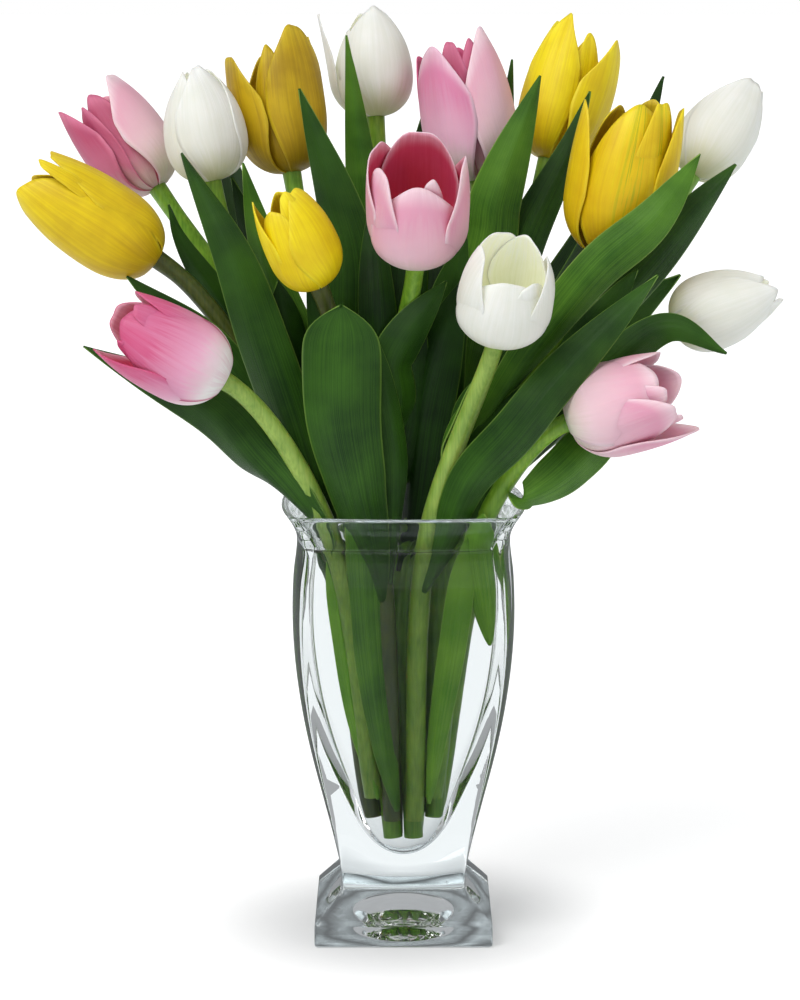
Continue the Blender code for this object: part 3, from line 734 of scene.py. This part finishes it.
# ---------------------------------------------------------------------------------------------
# Leaves. Long blades that clasp the stem, fold along the middle, wave at their edges and arch
# outwards. Rows give the height and side where they clasp, half-width, side that the outer face
# looks to at the tip, where they are widest, and points that the middle runs through.
# ---------------------------------------------------------------------------------------------
LEAVES = {
    "pink_2_a": (208, 180, 13, 303, 0.42, [(-71, -47, 240), (-97, -45, 268), (-151, -46, 296)]),
    "yellow_1_a": (224, 199, 12, 271, 0.42, [(-80, -15, 271), (-102, -19, 300), (-132, -25, 327)]),
    "white_1_a": (213, 187, 11, 278, 0.42, [(-60, 4, 255), (-79, 2, 295), (-106, -5, 340),
        (-113, -8, 360)]),
    "yellow_1_b": (196, 235, 14, 280, 0.45, [(-49, -33, 236), (-67, -35, 293), (-82, -29, 338),
        (-106, -13, 385)]),
    "pink_1_a": (253, 223, 10, 273, 0.42, [(-52, -3, 290), (-64, -5, 323), (-77, -9, 380)]),
    "yellow_2_a": (235, 270, 15, 250, 0.40, [(-25, -6, 294), (-26, -8, 330), (-31, -6, 354),
        (-50, 4, 415)]),
    "white_2_a": (250, 270, 11, 265, 0.35, [(-13, 24, 311), (-18, 28, 352), (-28, 34, 440)]),
    "pink_3_a": (252, 266, 10, 271, 0.42, [(-12, -34, 303), (-14, -26, 337), (-15, -15, 366)]),
    "pink_3_b": (219, 284, 13, 302, 0.50, [(-3, -32, 266), (-3, -37, 290), (20, -36, 326)]),
    "pink_4_a": (241, 281, 15, 274, 0.45, [(32, 8, 298), (42, 4, 342), (46, 2, 366), (66, 8, 421)]),
    "yellow_4_a": (245, 272, 12, 283, 0.42, [(52, 18, 311), (62, 15, 346), (82, 21, 387),
        (91, 26, 413)]),
    "yellow_5_a": (245, 304, 12, 279, 0.55, [(62, -33, 292), (91, -43, 331), (118, -45, 356),
        (140, -29, 385)]),
    "white_4_a": (235, 296, 13, 290, 0.50, [(75, 12, 283), (105, 6, 313), (144, 10, 358),
        (162, 16, 378)]),
    "white_3_a": (176, 285, 12, 265, 0.50, [(20, -42, 200), (32, -56, 232), (52, -70, 258),
        (76, -68, 288), (119, -51, 330)]),
    "yellow_5_b": (235, 324, 13, 292, 0.45, [(63, -25, 262), (86, -28, 284), (107, -29, 318)]),
    "white_5_a": (214, 331, 11, 273, 0.55, [(74, -26, 254), (100, -33, 284), (126, -36, 304),
        (153, -41, 292)]),
    "pink_5_a": (225, 333, 13, 266, 0.55, [(59, -48, 224), (79, -43, 236), (106, -26, 262)]),
    "yellow_3_a": (172, 260, 20, 269, 0.80, [(-14, -43, 190), (-18, -47, 207), (-24, -56, 232),
        (-30, -62, 268), (-29, -60, 317)]),
    "yellow_3_b": (180, 316, 8, 274, 0.50, [(-4, -37, 205), (-3, -41, 240), (-9, -44, 275),
        (-16, -43, 306)]),
    "pink_4_b": (230, 232, 14, 270, 0.45, [(16, -4, 270), (18, -8, 301), (30, -10, 346)]),
    "yellow_5_c": (209, 241, 14, 271, 0.50, [(9, -21, 257), (18, -23, 296), (31, -18, 328)]),
    "white_5_b": (223, 223, 13, 315, 0.50, [(35, -3, 243), (51, -4, 272), (74, -1, 321)]),
    "white_3_b": (242, 25, 6, 306, 0.45, [(26, -31, 257), (37, -41, 278), (50, -53, 300)]),
    "yellow_1_c": (216, 326, 13, 283, 0.55, [(-40, -16, 242), (-50, -22, 277), (-60, -22, 325)]),
    "pink_1_b": (230, 100, 17, 90, 0.42, [(-62, 60, 290), (-84, 82, 345), (-92, 100, 392)]),
    "white_2_b": (225, 90, 17, 90, 0.42, [(4, 62, 290), (8, 86, 350), (12, 112, 404)]),
    "yellow_4_b": (225, 90, 17, 90, 0.42, [(62, 65, 280), (94, 84, 332), (112, 98, 376)]),
    "white_4_b": (220, 60, 16, 60, 0.42, [(76, 46, 262), (112, 72, 296), (142, 82, 318)]),
}
SHEATH = 26.0  # the narrow foot of a leaf that runs down its stem below the clasp
LOW_CLASP = (190, 216)  # leaves that clasp between these heights, in the neck, have a sheath
LEAF_STEPS = 12  # steps between two of a leaf's middle points


def leaf_line(name, row):
    """Middle points from the foot of the sheath to the tip, and the side faced at each end."""
    height, clasp, half_width, face, widest, marks = row
    line = stem_line(name[:-2])
    out = np.array((math.cos(math.radians(clasp)), math.sin(math.radians(clasp)), 0))

    def beside(z, gap):
        centre = np.array([np.interp(z, line[:, 2], line[:, k]) for k in range(3)])
        return centre + out * (stem_thickness(z, name[:-2]) + gap)

    start = [beside(height, 0.8)]
    if LOW_CLASP[0] < height < LOW_CLASP[1]:
        start = [beside(height - SHEATH, 0.3), beside(height - SHEATH / 2, 0.5)] + start
    spine = np.array(through(start + [np.array(p, float) for p in marks], LEAF_STEPS))
    turn = (face - clasp + 180) % 360 - 180
    return spine, math.radians(clasp), math.radians(turn)


def leaf_outline(t, widest):
    """Share of the half-width at t: narrow at the foot, widest part way up, pointed at the tip."""
    if t < widest:
        return 0.06 + 0.94 * math.sin(math.pi / 2 * (t / widest) ** 0.8)
    return math.cos(math.pi / 2 * ((t - widest) / (1 - widest)) ** (0.3 + 2.2 * widest))


def leaf_skin(name, dark, light, margin):
    """Leaf green with parallel veins from base to tip and a thin pale margin, which is partly painted
    light shining through the thin edge.
    """
    made, tree, link, shader = new_skin(name)
    flat = node(tree, "UVMap", uv_map="UVMap")
    apart = node(tree, "SeparateXYZ")
    stretch = node(tree, "Mapping", {"Scale": (96, 1.2, 1)})
    veins = node(tree, "TexNoise", {"Scale": 1, "Detail": 3})
    place = node(tree, "TexCoord")
    cloud = node(tree, "TexNoise", {"Scale": 38, "Detail": 3})
    both = node(tree, "Mix", {"Factor": 0.45}, data_type="FLOAT")
    greens = ramp(tree, (0.36, tint(*dark)), (0.66, tint(*light)))
    link(flat.outputs[0], apart.inputs[0])
    link(flat.outputs[0], stretch.inputs["Vector"])
    link(stretch.outputs[0], veins.inputs["Vector"])
    link(place.outputs["Object"], cloud.inputs["Vector"])
    link(veins.outputs[0], both.inputs["A"])
    link(cloud.outputs[0], both.inputs["B"])
    link(both.outputs["Result"], greens.inputs[0])
    # distance from the fold, 0 to 1, for the pale margin, partly painted light
    centred = node(tree, "Math", {1: 2, 2: -1}, operation="MULTIPLY_ADD")
    outward = node(tree, "Math", operation="ABSOLUTE")
    rim = node(tree, "MapRange", {"From Min": 0.93, "From Max": 1.0, "To Max": 0.62},
               interpolation_type="SMOOTHSTEP")
    edging = node(tree, "Mix", {"B": tint(*margin)}, data_type="RGBA")
    link(apart.outputs["X"], centred.inputs[0])
    link(centred.outputs[0], outward.inputs[0])
    link(outward.outputs[0], rim.inputs["Value"])
    link(rim.outputs[0], edging.inputs["Factor"])
    link(greens.outputs[0], edging.inputs["A"])
    link(edging.outputs["Result"], shader.inputs["Base Color"])
    bump = node(tree, "Bump", {"Strength": 0.5, "Distance": 0.0006})
    link(veins.outputs[0], bump.inputs["Height"])
    link(bump.outputs[0], shader.inputs["Normal"])
    shader.inputs["Roughness"].default_value = 0.42
    shader.inputs["Specular IOR Level"].default_value = 0.22
    return made


# painted light and shade: the plain leaf green, a lighter copy for leaves in the light, a lighter one
# still for leaves seen through the glass, and a darker copy for leaves in shade deep in the bunch
MID = leaf_skin("tulip_leaf", (20, 50, 10), (58, 98, 26), (126, 162, 74))
LIT_LEAF_GREEN = leaf_skin("lit_tulip_leaf", (30, 72, 14), (92, 138, 42), (150, 184, 86))
GLASS_LIT_LEAF_GREEN = leaf_skin("glass_lit_tulip_leaf", (62, 116, 26), (122, 168, 54), (166, 196, 96))
SHADED_LEAF_GREEN = leaf_skin("shaded_tulip_leaf", (14, 38, 6), (40, 76, 16), (100, 136, 50))
# which leaves take a painted lit or shaded copy of the leaf green
SHADES = {
    "yellow_1_c": SHADED_LEAF_GREEN, "pink_3_a": SHADED_LEAF_GREEN, "pink_1_b": SHADED_LEAF_GREEN, "white_2_b": SHADED_LEAF_GREEN, "yellow_4_b": SHADED_LEAF_GREEN,
    "yellow_5_c": SHADED_LEAF_GREEN, "white_2_a": LIT_LEAF_GREEN, "yellow_5_a": LIT_LEAF_GREEN, "pink_4_a": LIT_LEAF_GREEN,
    "pink_1_a": LIT_LEAF_GREEN, "white_3_c": LIT_LEAF_GREEN, "white_2_c": SHADED_LEAF_GREEN, "pink_3_c": SHADED_LEAF_GREEN,
    "yellow_3_c": SHADED_LEAF_GREEN, "pink_1_c": SHADED_LEAF_GREEN, "yellow_5_d": SHADED_LEAF_GREEN, "pink_5_a": LIT_LEAF_GREEN,
}


LEAF_WALL = 0.7


def add_leaf(name, spine, first, turn, half_width, widest, skin):
    """One leaf: a grid bent along its middle line, folded and waved, smoothed and thickened."""
    bpy.ops.mesh.primitive_grid_add(x_subdivisions=11, y_subdivisions=len(spine) - 1, size=2)
    leaf = bpy.context.object
    leaf.name = "tulip_leaf_" + name
    dice = random.Random(name)
    wave, phase = dice.uniform(1.6, 2.8), dice.uniform(0, 6)
    last = len(spine) - 1
    run = np.cumsum([0, *np.linalg.norm(np.diff(spine, axis=0), axis=1)])
    for vert in leaf.data.vertices:
        u, v = vert.co.x, (vert.co.y + 1) / 2
        i = min(int(round(v * last)), last)
        t = run[i] / run[-1]
        # along the blade, across it, and out from its outer face
        along = unit(spine[min(i + 1, last)] - spine[max(i - 1, 0)])
        angle = first + turn * t
        outward = np.array((math.cos(angle), math.sin(angle), 0.15))
        across = unit(np.cross(along, outward))
        outward = np.cross(across, along)
        uneven = 1 + 0.05 * math.sin(5 * t + 1.5 * phase + 2 * (u > 0))
        width = half_width * leaf_outline(t, widest) * uneven + 0.3
        fold = 0.56 * width * (math.sqrt(u * u + 0.02) - 0.14) * (1.5 - 0.9 * t)
        swing = math.sin(wave * 2 * math.pi * t + phase + (1.3 if u > 0 else 0))
        ripple = 0.09 * half_width * u * u * swing * t
        point = spine[i] + across * width * u * (1 - 0.1 * abs(u)) - outward * (fold + ripple)
        vert.co = Vector(point) * MM
    smooth = leaf.modifiers.new("smooth", "SUBSURF")
    smooth.levels = smooth.render_levels = 1
    wall = leaf.modifiers.new("wall", "SOLIDIFY")
    wall.thickness = LEAF_WALL * MM
    wall.offset = 0
    bpy.ops.object.modifier_apply(modifier="smooth")
    bpy.ops.object.modifier_apply(modifier="wall")
    bpy.ops.object.shade_smooth()
    leaf.data.materials.append(skin)
    return leaf


# small leaves that stand between the others
INNER_LEAVES = {
    "white_3_c": (226, 20, 6, 300, 0.40, [(22, -30, 246), (34, -40, 272), (50, -48, 304)]),
    "yellow_4_c": (232, 300, 9, 280, 0.45, [(45, 20, 300), (66, 32, 350), (88, 40, 404)]),
    "pink_4_c": (228, 300, 8, 275, 0.45, [(38, 30, 300), (48, 46, 360), (54, 52, 428)]),
    "yellow_5_d": (228, 320, 10, 285, 0.50, [(74, 16, 300), (108, 30, 362), (128, 36, 420)]),
    "white_5_c": (226, 300, 11, 280, 0.50, [(56, -10, 256), (86, -14, 292), (112, -18, 330)]),
    "pink_1_c": (226, 240, 11, 275, 0.45, [(-46, 10, 262), (-62, 14, 310), (-84, 16, 372)]),
    "yellow_3_c": (212, 250, 12, 272, 0.50, [(-24, -22, 242), (-32, -24, 280), (-46, -20, 330)]),
    "pink_3_c": (214, 265, 13, 270, 0.50, [(-2, -22, 246), (2, -24, 284), (6, -22, 322)]),
    "white_2_c": (230, 275, 12, 268, 0.45, [(0, 10, 290), (2, 18, 336), (6, 24, 392)]),
    "pink_5_b": (206, 300, 10, 285, 0.50, [(44, -34, 230), (66, -36, 252), (92, -34, 276)]),
}
for name, row in {**LEAVES, **INNER_LEAVES}.items():
    leaf = add_leaf(name, *leaf_line(name, row), row[2], row[4], SHADES.get(name, MID))
    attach(leaf, "root")
    if name in LEAVES:
        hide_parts("leaf_" + name)

# lowest leaves, torn off near the foot of the bunch: half-width, where widest, and middle points
FOOT_LEAVES = {
    "foot_middle": (11, 0.70, [(-3, -22, 66), (-9, -28, 100), (-14, -34, 148), (-17, -42, 196),
        (-18, -44, 214), (-16, -38, 246)]),
    "foot_left": (6, 0.60, [(-12, -19, 72), (-22, -22, 112), (-29, -27, 160), (-35, -36, 202)]),
    "foot_right": (9, 0.60, [(41, -32, 150), (39, -37, 172), (36, -42, 198), (38, -46, 216)]),
    "foot_inner": (7, 0.65, [(12, -21, 70), (17, -26, 110), (24, -34, 158), (30, -42, 204)]),
}
for name, (half_width, widest, marks) in FOOT_LEAVES.items():
    spine = np.array(through([np.array(p, float) for p in marks], LEAF_STEPS))
    # painted light: the leaves in the vase take lighter copies of the leaf green, for the light that
    # reaches them through the glass
    green = LIT_LEAF_GREEN if name == "foot_middle" else GLASS_LIT_LEAF_GREEN
    leaf = add_leaf(name, spine, math.radians(270), 0, half_width, widest, green)
    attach(leaf, "root")

# ---------------------------------------------------------------------------------------------
# At the end nothing is selected.
# ---------------------------------------------------------------------------------------------
bpy.ops.object.select_all(action="DESELECT")
